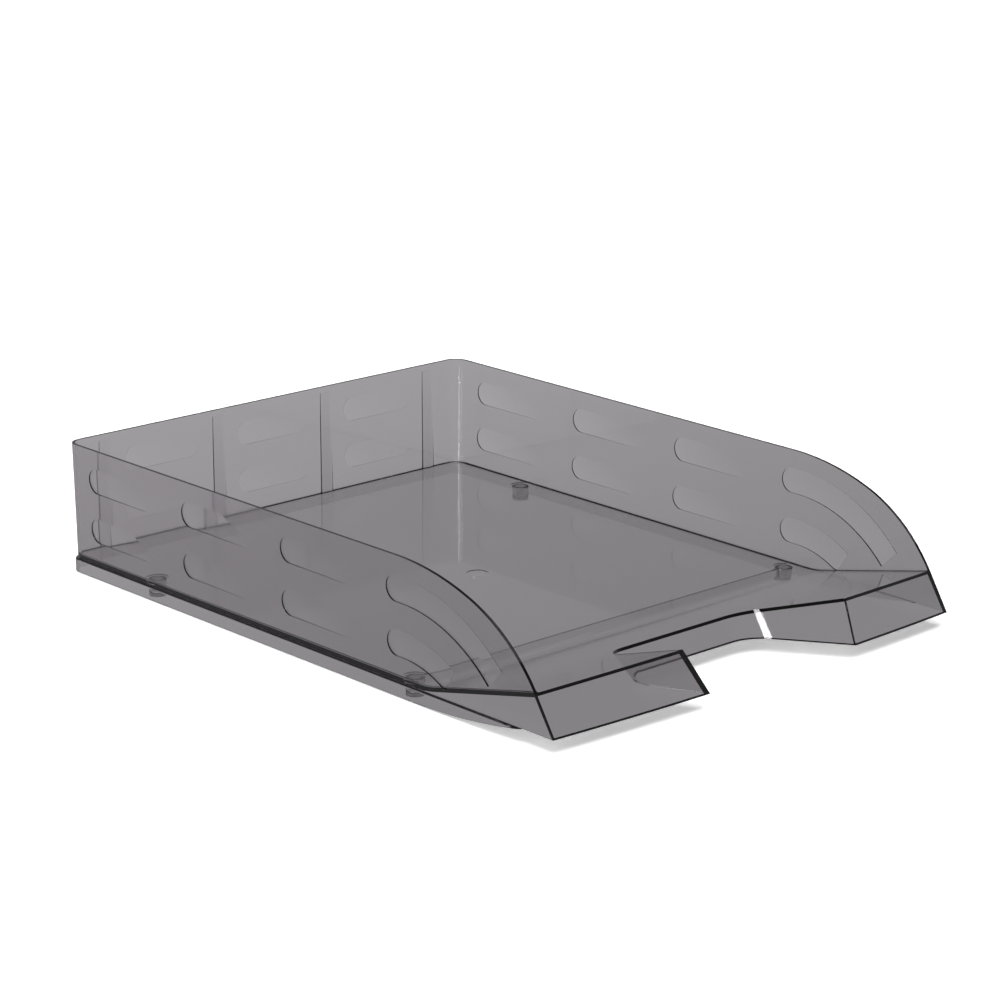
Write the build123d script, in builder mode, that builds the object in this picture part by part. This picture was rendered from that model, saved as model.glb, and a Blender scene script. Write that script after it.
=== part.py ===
from build123d import *
import os
from math import atan, cos, radians, sin, sqrt, tan

os.makedirs("parts", exist_ok=True)

# A one-piece letter tray on four pressed-in feet, in mm.
# X runs across the tray, +Y to the rear wall, Z up from the desk.

# Overall sizes
width = 255.0  # across the skirt
depth = 349.0  # rear of the skirt to the crown of the bowed front lip
height = 65.0  # desk to rim

# Sheet of the moulding
wall = 1.6
corner_radius = 8.0  # rear corners of the skirt, seen from above
draft = 1.2  # degrees that the walls lean outwards

# Floor and the ramp up to the lip
floor_top = 8.5
floor_thickness = 1.8
floor_edge_radius = 1.2  # where the floor meets the walls
ramp_run = 70.0  # crease of the ramp to the top of the lip
ramp_radius = 45.0

# Skirt that the tray stands on
skirt_bottom = 0.4
skirt_top = 7.0
skirt_step = 1.3  # how far the skirt stands outside the wall
sweep_length = 68.0  # over which its lower edge rises to the lip
sweep_end = 19.0  # level stretch left before the front corner

# Front lip
lip_height = 17.8
lip_angle = 57.0  # degrees from the desk
lip_bow = 4.0

# Side rim, from the level stretch down to the lip
rim_upper_radius = 140.0
rim_lower_radius = 82.0
rim_turn = 20.0  # degrees where the upper arc gives way to the lower one

# Finger notch, a slanted opening with an apron hanging round it
notch_width = 91.0  # half way back, at the foot of the lip
notch_depth = 40.7
notch_left_slant = 25.0  # degrees that its sides turn from the Y axis
notch_right_slant = 35.0
notch_left_radius = 10.5
notch_right_radius = 20.0
notch_lean = 0.85  # how far the apron runs back for each mm up
notch_left_flare = 0.38  # how far its sides open for each mm up
notch_right_flare = 0.17
notch_edge_radius = 1.2  # upright edge where the lip turns into the right-hand side

# Grip embosses on the walls: shallow wedges with a round rear end
emboss_height = 12.4
emboss_length = 50.0
emboss_depth = 0.9
emboss_top_share = 0.5  # of the depth that is left along the top
emboss_flush = 60.0  # length over which a straight wedge would come flush
emboss_bent_flush = 120.0
emboss_rows = (24.6, 49.7)  # heights of their centre lines
emboss_columns = 4
emboss_rear_margin = 18.5
emboss_front_margin = 110.0
emboss_bend_start = 4.0  # level stretch of the bent slots past their round end
emboss_bends = (52.0, 77.0)  # radius under the bend in each row
emboss_reaches = (32.0, 46.0)  # degrees of bend in each row
rear_emboss_length = 46.0
rear_emboss_depth = 0.5
rear_emboss_flush = 55.0

# Upright rails behind the rear wall, round-edged and flush with the skirt
rail_width = 8.0
rail_edge_radius = 1.4
rail_spacing = 70.0
rail_count = 4
rail_end_gap = 3.5  # plain band under the rim

# Foot bosses and feet
boss_inset = 9.5  # boss centre to the outside of the skirt
boss_rear = 61.0  # rear of the skirt to the rear boss centres
boss_front = 100.0  # crown of the lip to the front boss centres
boss_diameter = 8.6
boss_bore = 5.6
foot_head = 1.6
foot_clearance = 0.1
mark_depth = 0.3
ring_diameter = 11.0  # shallow ring in the floor over each boss
ring_width = 1.0
gate_mark_diameter = 10.8
gate_mark_offset = 16.5  # behind the middle of the tray

# Cross rib between the front feet
rib_thickness = 1.6
rib_drop = 4.5

# Edge along the top of the skirt
skirt_edge_radius = 1.0

# Derived places
rear = depth / 2
corner = lip_bow - depth / 2  # Y of the two front corners
lip_run = lip_height / tan(radians(lip_angle))
lip_top = skirt_top + lip_height
floor_under = floor_top - floor_thickness
wall_half = width / 2 - skirt_step  # outside of the wall at its foot
cavity_half = wall_half - wall
far = depth + width  # beyond everything
crease = corner + lip_run + ramp_run
ramp_slope = (lip_top - floor_top) / ramp_run
ramp_angle = atan(ramp_slope)
front_limit = corner - far


def plan_outline(half, back, radius):
    """Rounded rear corners, running on past the front of the tray."""
    with BuildSketch() as outline:
        with BuildLine():
            FilletPolyline(
                (-half, front_limit), (-half, back), (half, back), (half, front_limit),
                radius=radius,
            )
            Line((half, front_limit), (-half, front_limit))
        make_face()
    return outline.sketch


def front_space(setback):
    """Everything in front of the lip's surface, set back by this much."""
    with BuildPart() as space:
        for level in (skirt_top - lip_height, height + lip_height):
            y = corner + setback + (level - skirt_top) / tan(radians(lip_angle))
            with BuildSketch(Plane.XY.offset(level)):
                with BuildLine():
                    Line((-width, y), (-cavity_half, y))
                    ThreePointArc((-cavity_half, y), (0, y - lip_bow), (cavity_half, y))
                    Polyline(
                        (cavity_half, y), (width, y), (width, 2 * front_limit),
                        (-width, 2 * front_limit), (-width, y),
                    )
                make_face()
        loft(ruled=True)
    return space.part


def below_sheet(drop):
    """Space under the floor and ramp, this far below their top surface."""
    shift = drop * tan(ramp_angle / 2)
    start = crease - shift
    level = floor_top - drop
    with BuildPart() as space:
        with BuildSketch(Plane.YZ):
            with BuildLine():
                FilletPolyline(
                    (far, level), (start, level),
                    (front_limit, level + (start - front_limit) * ramp_slope),
                    radius=ramp_radius + drop,
                )
                Polyline(
                    (front_limit, level + (start - front_limit) * ramp_slope),
                    (front_limit, -height), (far, -height), (far, level),
                )
            make_face()
        extrude(amount=width, both=True)
    return space.part


def notch_space(grow):
    """The finger notch, or with grow the block that its apron is cut from."""
    left_slant = tan(radians(notch_left_slant))
    right_slant = tan(radians(notch_right_slant))
    middle = notch_depth / 2
    ahead = notch_depth + middle
    with BuildPart() as space:
        for rise in (0, 2 * lip_height):
            back = notch_depth - depth / 2 + rise * notch_lean
            left = -notch_width / 2 - rise * notch_left_flare
            right = notch_width / 2 + rise * notch_right_flare
            front_left = (left + ahead * left_slant, back - ahead - middle)
            front_right = (right + ahead * right_slant, back - ahead - middle)
            with BuildSketch(Plane.XY.offset(skirt_top + rise)):
                with BuildLine():
                    FilletPolyline(
                        front_left,
                        (left - middle * left_slant, back),
                        (right - middle * right_slant, back),
                        front_right,
                        radius=[notch_left_radius, notch_right_radius],
                    )
                    Line(front_right, front_left)
                make_face()
                if grow:
                    offset(amount=grow)
        loft(ruled=True)
    return space.part


def rim_space():
    """Everything above the side rim, from the level stretch to the front corner."""
    turn = radians(rim_turn)
    end = radians(lip_angle)
    low_z = height - rim_upper_radius * (1 - cos(turn)) - rim_lower_radius * (cos(turn) - cos(end))
    low_y = corner + (low_z - skirt_top) / tan(end)
    mid_y = low_y + rim_lower_radius * (sin(end) - sin(turn))
    level_y = mid_y + rim_upper_radius * sin(turn)
    with BuildPart() as space:
        for side in (-1, 1):
            with BuildSketch(Plane.YZ.offset(side * cavity_half)):
                with BuildLine():
                    start = Line((far, height), (level_y, height))
                    upper = JernArc(start @ 1, (-1, 0), rim_upper_radius, rim_turn)
                    lower = JernArc(upper @ 1, upper % 1, rim_lower_radius, lip_angle - rim_turn)
                    Polyline(
                        lower @ 1, (corner, skirt_top), (corner, skirt_top - lip_height),
                        (front_limit, skirt_top - lip_height), (front_limit, 2 * height),
                        (far, 2 * height), (far, height),
                    )
                make_face()
            extrude(amount=side * width)
    return space.part


def sweep_space():
    """Space under the skirt, which rises to the lip at the front."""
    rise = skirt_top - skirt_bottom
    radius = (sweep_length**2 + rise**2) / (2 * rise)
    start = corner + sweep_end + sweep_length
    middle = sweep_length / 2
    with BuildPart() as space:
        with BuildSketch(Plane.YZ):
            with BuildLine():
                ThreePointArc(
                    (start, skirt_bottom),
                    (start - middle, skirt_bottom + radius - sqrt(radius**2 - middle**2)),
                    (start - sweep_length, skirt_top),
                )
                Polyline(
                    (start - sweep_length, skirt_top), (front_limit, skirt_top),
                    (front_limit, -height), (start, -height), (start, skirt_bottom),
                )
            make_face()
        extrude(amount=width, both=True)
    return space.part


def wedge(face, outline, deep, sink, flush):
    """A shallow recess of this outline in a wall's face.

    It is deepest at the point deep, shallower above it, and would come flush this
    far towards its front end.
    """
    x, y = deep
    floor_point = face.from_local_coords((x, y, -sink))
    along = face.from_local_coords((x - flush, y, 0)) - floor_point
    above = face.from_local_coords((x, y + emboss_height, -sink * emboss_top_share))
    upwards = above - floor_point
    with BuildPart() as space:
        with BuildSketch(face):
            add(outline)
        extrude(amount=sink, both=True)
        split(bisect_by=Plane(floor_point, x_dir=along, z_dir=upwards.cross(along)))
    return space.part


def straight_outline(x, y, length):
    """A slot whose round rear end starts at x, centred on y."""
    with BuildSketch() as outline:
        with Locations((x - length / 2, y)):
            SlotOverall(length, emboss_height)
    return outline.sketch


def bent_outline(x, y, radius, reach):
    """The last slot of a row, whose front half bends down beside the rim."""
    half = emboss_height / 2
    bend = x - half - emboss_bend_start
    with BuildSketch() as outline:
        with BuildLine():
            level = Line((x - half, y + half), (bend, y + half))
            over = JernArc(level @ 1, (-1, 0), radius + emboss_height, reach)
            under = JernArc((bend, y - half), (-1, 0), radius, reach)
            Line(over @ 1, under @ 1)
            Line((bend, y - half), (x - half, y - half))
            ThreePointArc((x - half, y - half), (x, y), (x - half, y + half))
        make_face()
    return outline.sketch


def side_embosses():
    """The wedges of the right-hand wall: straight slots, then a bent one in each row."""
    face = Plane(
        origin=(wall_half, 0, floor_under), x_dir=(0, 1, 0),
        z_dir=(cos(radians(draft)), 0, -sin(radians(draft))),
    )
    first = rear - emboss_rear_margin
    last = emboss_front_margin - depth / 2
    pitch = (first - last) / (emboss_columns - 1)
    with BuildPart() as space:
        for row, radius, reach in zip(emboss_rows, emboss_bends, emboss_reaches):
            y = row - floor_under
            deep = y - emboss_height / 2
            for column in range(emboss_columns - 1):
                x = first - column * pitch
                outline = straight_outline(x, y, emboss_length)
                add(wedge(face, outline, (x, deep), emboss_depth, emboss_flush))
            outline = bent_outline(last, y, radius, reach)
            add(wedge(face, outline, (last, deep), emboss_depth, emboss_bent_flush))
    return space.part


def rear_embosses():
    """Fainter wedges in the rear wall, between its rails."""
    face = Plane(
        origin=(0, rear - skirt_step, floor_under), x_dir=(-1, 0, 0),
        z_dir=(0, cos(radians(draft)), -sin(radians(draft))),
    )
    with BuildPart() as space:
        for row in emboss_rows:
            y = row - floor_under
            for bay in range(rail_count - 1):
                middle = (bay - (rail_count - 2) / 2) * rail_spacing
                x = middle + rear_emboss_length / 2
                outline = straight_outline(x, y, rear_emboss_length)
                deep = (x, y - emboss_height / 2)
                add(wedge(face, outline, deep, rear_emboss_depth, rear_emboss_flush))
    return space.part


outer_front = front_space(0)
inner_front = front_space(wall / sin(radians(lip_angle)))
over_floor = below_sheet(0)
under_floor = below_sheet(floor_thickness)
notch = notch_space(0)
apron = notch_space(wall)
rim_cut = rim_space()
sweep_cut = sweep_space()
right_embosses = side_embosses()

boss_places = [
    (side * (width / 2 - boss_inset), y)
    for y in (rear - boss_rear, boss_front - depth / 2)
    for side in (-1, 1)
]
rail_reach = skirt_step + wall / 2  # from inside the wall to the face of the skirt

# Middle of the upright edge at the right-hand corner of the notch
edge_y = corner - lip_bow + lip_run / 2
edge_x = (
    (notch_width + lip_height * notch_right_flare) / 2
    + ((notch_depth + lip_height * notch_lean - depth) / 2 - edge_y) * tan(radians(notch_right_slant))
)
edge_place = (edge_x, edge_y, skirt_top + lip_height / 2)

# Space over the floor, between the drafted walls
with BuildPart() as inside:
    with BuildSketch(Plane.XY.offset(skirt_top)):
        add(plan_outline(cavity_half, rear - skirt_step - wall, corner_radius - skirt_step - wall))
    extrude(amount=height, taper=-draft)
    add(over_floor, mode=Mode.SUBTRACT)
    floor_face = inside.faces().filter_by(Plane.XY).sort_by(Axis.Z)[0]
    fillet(
        floor_face.edges().filter_by(lambda edge: edge.center().Y > crease + ramp_radius),
        radius=floor_edge_radius,
    )

# Space under the floor, inside the skirt and behind the lip
with BuildPart() as hollow:
    with BuildSketch(Plane.XY.offset(-height)):
        add(plan_outline(width / 2 - wall, rear - wall, corner_radius - wall))
    extrude(amount=height + floor_under)
    with BuildSketch(Plane.XY.offset(floor_under)):
        add(plan_outline(cavity_half, rear - skirt_step - wall, corner_radius - skirt_step - wall))
    extrude(amount=height)
    add(under_floor, mode=Mode.INTERSECT)
    add(inner_front, mode=Mode.SUBTRACT)

# The tray moulding
with BuildPart() as tray:
    with BuildSketch(Plane.XY.offset(skirt_bottom)):
        add(plan_outline(width / 2, rear, corner_radius))
    extrude(amount=skirt_top - skirt_bottom)
    fillet(tray.faces().sort_by(Axis.Z)[-1].edges(), radius=skirt_edge_radius)
    with BuildSketch(Plane.XY.offset(floor_under)):
        add(plan_outline(wall_half, rear - skirt_step, corner_radius - skirt_step))
    extrude(amount=height - floor_under, taper=-draft)
    with BuildSketch(Plane.XY.offset(floor_under)) as rails:
        with Locations((0, rear - rail_reach / 2)):
            with GridLocations(rail_spacing, 1, rail_count, 1):
                Rectangle(rail_width, rail_reach)
        fillet(rails.vertices().group_by(Axis.Y)[-1], radius=rail_edge_radius)
    extrude(amount=height - rail_end_gap - floor_under)
    add(hollow.part, mode=Mode.SUBTRACT)
    with BuildSketch(Plane.XY.offset(foot_head)):
        with Locations(*boss_places):
            Circle(boss_diameter / 2)
    extrude(amount=floor_top - foot_head)
    with BuildSketch(Plane.XY.offset(floor_under - rib_drop)):
        with Locations((0, boss_front - depth / 2)):
            Rectangle(width - 2 * boss_inset, rib_thickness)
    extrude(amount=rib_drop)
    with BuildSketch(Plane.XY.offset(foot_head)):
        with Locations(*boss_places):
            Circle(boss_bore / 2)
    extrude(amount=floor_under - foot_head, mode=Mode.SUBTRACT)
    add(apron)
    add(outer_front, mode=Mode.SUBTRACT)
    add(inside.part, mode=Mode.SUBTRACT)
    add(rim_cut, mode=Mode.SUBTRACT)
    add(notch, mode=Mode.SUBTRACT)
    fillet(tray.edges().sort_by_distance(edge_place)[0], radius=notch_edge_radius)
    add(sweep_cut, mode=Mode.SUBTRACT)
    add(right_embosses, mode=Mode.SUBTRACT)
    add(mirror(right_embosses, about=Plane.YZ), mode=Mode.SUBTRACT)
    add(rear_embosses(), mode=Mode.SUBTRACT)
    with BuildSketch(Plane.XY.offset(floor_top - mark_depth)):
        with Locations((0, gate_mark_offset)):
            Circle(gate_mark_diameter / 2)
        with Locations(*boss_places):
            Circle(ring_diameter / 2)
            Circle(ring_diameter / 2 - ring_width, mode=Mode.SUBTRACT)
    extrude(amount=mark_depth, mode=Mode.SUBTRACT)

# Feet: a head under each boss, a stem in its bore
for name, place in zip(("rear_left", "rear_right", "front_left", "front_right"), boss_places):
    with BuildPart() as foot:
        with BuildSketch():
            with Locations(place):
                Circle(boss_diameter / 2)
        extrude(amount=foot_head)
        with BuildSketch(Plane.XY.offset(foot_head)):
            with Locations(place):
                Circle(boss_bore / 2 - foot_clearance)
        extrude(amount=floor_under - foot_head - foot_clearance)
    foot.part.label = f"{name}_foot"
    export_step(foot.part, f"parts/{name}_foot.step")

tray.part.label = "tray"
export_step(tray.part, "parts/tray.step")
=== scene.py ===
import bpy
import math
from mathutils import Matrix

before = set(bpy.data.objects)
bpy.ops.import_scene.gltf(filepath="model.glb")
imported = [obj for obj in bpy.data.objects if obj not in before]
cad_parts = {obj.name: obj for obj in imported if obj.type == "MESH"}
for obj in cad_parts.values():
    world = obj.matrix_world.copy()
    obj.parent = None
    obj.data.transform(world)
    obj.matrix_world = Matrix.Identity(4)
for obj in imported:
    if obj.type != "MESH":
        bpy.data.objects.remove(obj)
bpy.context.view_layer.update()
print("frame loaded:", ", ".join(sorted(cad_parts)))


class Socket:  # one output of a shader graph; sums and products on it add Math nodes
    def __init__(self, graph, link):
        self.graph = graph
        self.link = link

    def maths(self, operation, first, second):
        return self.graph.node("ShaderNodeMath", {"operation": operation}, {0: first, 1: second})

    def __add__(self, other):
        return self.maths("ADD", self, other)

    def __radd__(self, other):
        return self.maths("ADD", other, self)

    def __mul__(self, other):
        return self.maths("MULTIPLY", self, other)

    def __rmul__(self, other):
        return self.maths("MULTIPLY", other, self)


class Graph:  # the nodes of one material or world
    def __init__(self, owner):
        owner.use_nodes = True
        self.owner = owner
        self.tree = owner.node_tree
        self.tree.nodes.clear()

    def node(self, kind, settings=None, sockets=None, output=0):
        made = self.tree.nodes.new(kind)
        for key, value in (settings or {}).items():
            setattr(made, key, value)
        for key, value in (sockets or {}).items():
            if isinstance(value, Socket):
                self.tree.links.new(value.link, made.inputs[key])
            else:
                made.inputs[key].default_value = value
        return Socket(self, made.outputs[output])

    def finish(self, surface, volume=None, kind="ShaderNodeOutputMaterial"):
        end = self.tree.nodes.new(kind)
        self.tree.links.new(surface.link, end.inputs["Surface"])
        if volume is not None:
            self.tree.links.new(volume.link, end.inputs["Volume"])
        return self.owner


smoke = {
    "tint": (0.90, 0.892, 0.901),  # what the resin passes, per absorption length
    "density": 1270.0,  # per metre
    "bend": 1.59,  # index of refraction of polystyrene
    "polish": 0.035,  # least roughness, and how much a cloudy patch adds
    "polishSpread": 0.03,
    "cloudScale": 30.0,
    "cloudDetail": 3.0,
    "ripple": 0.004,  # strength of the slow waves in the moulded faces
    "rippleDepth": 0.001,
    "rippleScale": 18.0,
    "rippleDetail": 1.0,
}


def smokePlastic():
    g = Graph(bpy.data.materials.new("smokePlastic"))
    place = g.node("ShaderNodeTexCoord", output="Object")
    cloud = g.node("ShaderNodeTexNoise", {}, {
        "Vector": place, "Scale": smoke["cloudScale"], "Detail": smoke["cloudDetail"],
    })
    wave = g.node("ShaderNodeTexNoise", {}, {
        "Vector": place, "Scale": smoke["rippleScale"], "Detail": smoke["rippleDetail"],
    })
    ripple = g.node("ShaderNodeBump", {}, {
        "Height": wave, "Strength": smoke["ripple"], "Distance": smoke["rippleDepth"],
    })
    surface = g.node("ShaderNodeBsdfPrincipled", {}, {
        "Base Color": (1, 1, 1, 1),
        "Roughness": smoke["polish"] + smoke["polishSpread"] * cloud,
        "IOR": smoke["bend"],
        "Transmission Weight": 1.0,
        "Normal": ripple,
    })
    inside = g.node("ShaderNodeVolumeAbsorption", {}, {
        "Color": (*smoke["tint"], 1), "Density": smoke["density"],
    })
    return g.finish(surface, inside)


foot = {
    "tint": (0.90, 0.892, 0.901),
    "density": 350.0,
    "bend": 1.50,
    "dullness": 0.18,  # least roughness, and how much the grain adds
    "grain": 0.12,
    "grainScale": 900.0,
    "grainDetail": 2.0,
    "grainStrength": 0.15,
    "grainDepth": 0.0002,
}


def footPlastic():
    g = Graph(bpy.data.materials.new("footPlastic"))
    place = g.node("ShaderNodeTexCoord", output="Object")
    grain = g.node("ShaderNodeTexNoise", {}, {
        "Vector": place, "Scale": foot["grainScale"], "Detail": foot["grainDetail"],
    })
    bump = g.node("ShaderNodeBump", {}, {
        "Height": grain, "Strength": foot["grainStrength"], "Distance": foot["grainDepth"],
    })
    surface = g.node("ShaderNodeBsdfPrincipled", {}, {
        "Base Color": (1, 1, 1, 1),
        "Roughness": foot["dullness"] + foot["grain"] * grain,
        "IOR": foot["bend"],
        "Transmission Weight": 1.0,
        "Normal": bump,
    })
    inside = g.node("ShaderNodeVolumeAbsorption", {}, {
        "Color": (*foot["tint"], 1), "Density": foot["density"],
    })
    return g.finish(surface, inside)


finishes = {"tray": smokePlastic()}
feetFinish = footPlastic()
for name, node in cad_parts.items():
    node.data.materials.clear()
    node.data.materials.append(finishes.get(name, feetFinish))
print("finishes given")

# The camera sees a white floor and dome; the plastic mirrors and passes a grey paper and sky. The
# paper glows as painted light, with painted shade at the front under and near the tray and a
# painted pool of light to the rear.
studio = {
    "floorSize": 40.0,
    "floorDrop": 0.0002,  # both sheets lie just under the feet
    "paperDrop": 0.0003,
    "domeSize": 18.0,  # radius; a far view still reaches it
    "floorGlow": 0.35,
    "domeGlow": 1.2,
    "shownWhite": 0.95,
    "dull": 0.9,  # roughness of the floor and the paper
    "paperShadedFront": (0.302, 0.294, 0.304),  # painted light: glow of the paper that is seen through the plastic, darker at the front as painted shade under and near the tray
    # painted pool of light: the paper's glow at the rear
    "paperLitRear": (0.434, 0.424, 0.438),
    "paperFrom": -0.1,  # where the painted pool of light starts to make it paler to the rear, and where it stops
    "paperTo": 0.4,
    "paperGrey": 0.02,
    "skyLow": 0.33,  # strength near the horizon and overhead
    "skyHigh": 0.12,
    "skyFrom": 0.3,  # heights between which it changes
    "skyTo": 0.6,
    "sun": 3.0,
    "sunAngle": 55.0,
    "sunTilt": (12.0, -10.0, 0.0),
}


def shownFinish(glow):
    g = Graph(bpy.data.materials.new("shownWhite"))
    grey = studio["shownWhite"]
    surface = g.node("ShaderNodeBsdfPrincipled", {}, {
        "Base Color": (grey, grey, grey, 1), "Roughness": studio["dull"], "Specular IOR Level": 0.0,
        "Emission Color": (1, 1, 1, 1), "Emission Strength": glow,
    })
    return g.finish(surface)


# Painted light: the paper glows instead of being lit, darker at the front as painted shade under
# and near the tray, paler to the rear as a painted pool of light.
def paintedLightPaperFinish():
    g = Graph(bpy.data.materials.new("shadedGlowPaper"))
    place = g.node("ShaderNodeTexCoord", output="Object")
    toRear = g.node("ShaderNodeSeparateXYZ", {}, {"Vector": place}, output=1)
    share = g.node("ShaderNodeMapRange", {}, {
        "Value": toRear, "From Min": studio["paperFrom"], "From Max": studio["paperTo"],
    })
    # painted shade at the front blends into a painted pool of light at the rear
    glow = g.node("ShaderNodeMixRGB", {}, {
        "Fac": share, "Color1": (*studio["paperShadedFront"], 1), "Color2": (*studio["paperLitRear"], 1),
    })
    grey = studio["paperGrey"]
    surface = g.node("ShaderNodeBsdfPrincipled", {}, {
        "Base Color": (grey, grey, grey, 1), "Roughness": studio["dull"], "Specular IOR Level": 0.0,
        "Emission Color": glow, "Emission Strength": 1.0,
    })
    return g.finish(surface)


def stageSheet(name, sheet, finish, toCamera):
    sheet.name = name
    sheet.data.materials.append(finish)
    sheet.visible_camera = toCamera
    for ray in ("visible_diffuse", "visible_glossy", "visible_transmission", "visible_shadow"):
        setattr(sheet, ray, not toCamera)


bpy.ops.mesh.primitive_plane_add(size=studio["floorSize"], location=(0, 0, -studio["floorDrop"]))
stageSheet("shownFloor", bpy.context.object, shownFinish(studio["floorGlow"]), True)
bpy.ops.mesh.primitive_uv_sphere_add(radius=studio["domeSize"])
stageSheet("shownDome", bpy.context.object, shownFinish(studio["domeGlow"]), True)
# the glowing paper, seen only by the plastic, carries painted shade and a painted pool of light
bpy.ops.mesh.primitive_plane_add(size=studio["floorSize"], location=(0, 0, -studio["paperDrop"]))
stageSheet("shadedGlowPaper", bpy.context.object, paintedLightPaperFinish(), False)


def studioWorld():  # pale near the horizon, darker overhead
    g = Graph(bpy.data.worlds.new("studio"))
    way = g.node("ShaderNodeTexCoord", output="Generated")
    height = g.node("ShaderNodeSeparateXYZ", {}, {"Vector": way}, output=2)
    glow = g.node("ShaderNodeMapRange", {"interpolation_type": "SMOOTHSTEP"}, {
        "Value": height, "From Min": studio["skyFrom"], "From Max": studio["skyTo"],
        "To Min": studio["skyLow"], "To Max": studio["skyHigh"],
    })
    light = g.node("ShaderNodeBackground", {}, {"Color": (1, 1, 1, 1), "Strength": glow})
    return g.finish(light, kind="ShaderNodeOutputWorld")


bpy.context.scene.world = studioWorld()

sun = bpy.data.objects.new("overhead", bpy.data.lights.new("overhead", "SUN"))
sun.data.energy = studio["sun"]
sun.data.angle = math.radians(studio["sunAngle"])
sun.visible_glossy = False
sun.visible_transmission = False
sun.rotation_euler = [math.radians(tilt) for tilt in studio["sunTilt"]]
bpy.context.scene.collection.objects.link(sun)

softboxes = {  # place, width, height, power; each faces the tray
    "sideBox": ((-2.0, -0.36, 1.0), 0.6, 1.3, 16.0),
    "frontBox": ((-0.963, -0.946, 1.54), 0.35, 0.6, 7.0),
}
for name, (place, wide, tall, power) in softboxes.items():
    box = bpy.data.objects.new(name, bpy.data.lights.new(name, "AREA"))
    box.data.shape = "RECTANGLE"
    box.data.size = wide
    box.data.size_y = tall
    box.data.energy = power
    box.location = place
    box.rotation_euler = (-box.location).to_track_quat("-Z", "Y").to_euler()
    bpy.context.scene.collection.objects.link(box)

camera = {
    "place": (-1.0004, -1.0905, 0.4882),
    "turn": 42.514,  # degrees to the right of +Y
    "dip": 16.535,  # degrees below the horizon
    "roll": 0.2275,
    "lens": 117.07,
    "sensor": 36.0,
    "near": 0.1,
    "far": 100.0,
}


def makeCamera():
    data = bpy.data.cameras.new("camera")
    data.sensor_width = camera["sensor"]
    data.lens = camera["lens"]
    data.clip_start = camera["near"]
    data.clip_end = camera["far"]
    eye = bpy.data.objects.new("camera", data)
    aim = (
        Matrix.Rotation(-math.radians(camera["turn"]), 4, "Z")
        @ Matrix.Rotation(math.radians(90 - camera["dip"]), 4, "X")
        @ Matrix.Rotation(math.radians(camera["roll"]), 4, "Z")
    )
    eye.matrix_world = Matrix.Translation(camera["place"]) @ aim
    bpy.context.scene.collection.objects.link(eye)
    bpy.context.scene.camera = eye


makeCamera()
bpy.context.scene.view_settings.view_transform = "Standard"

bounces = {  # a ray can meet a dozen walls and floors of clear plastic
    "transmission_bounces": 24,
    "glossy_bounces": 16,
    "max_bounces": 32,
}
for kind, most in bounces.items():
    setattr(bpy.context.scene.cycles, kind, most)
print("stage, lights and camera set")
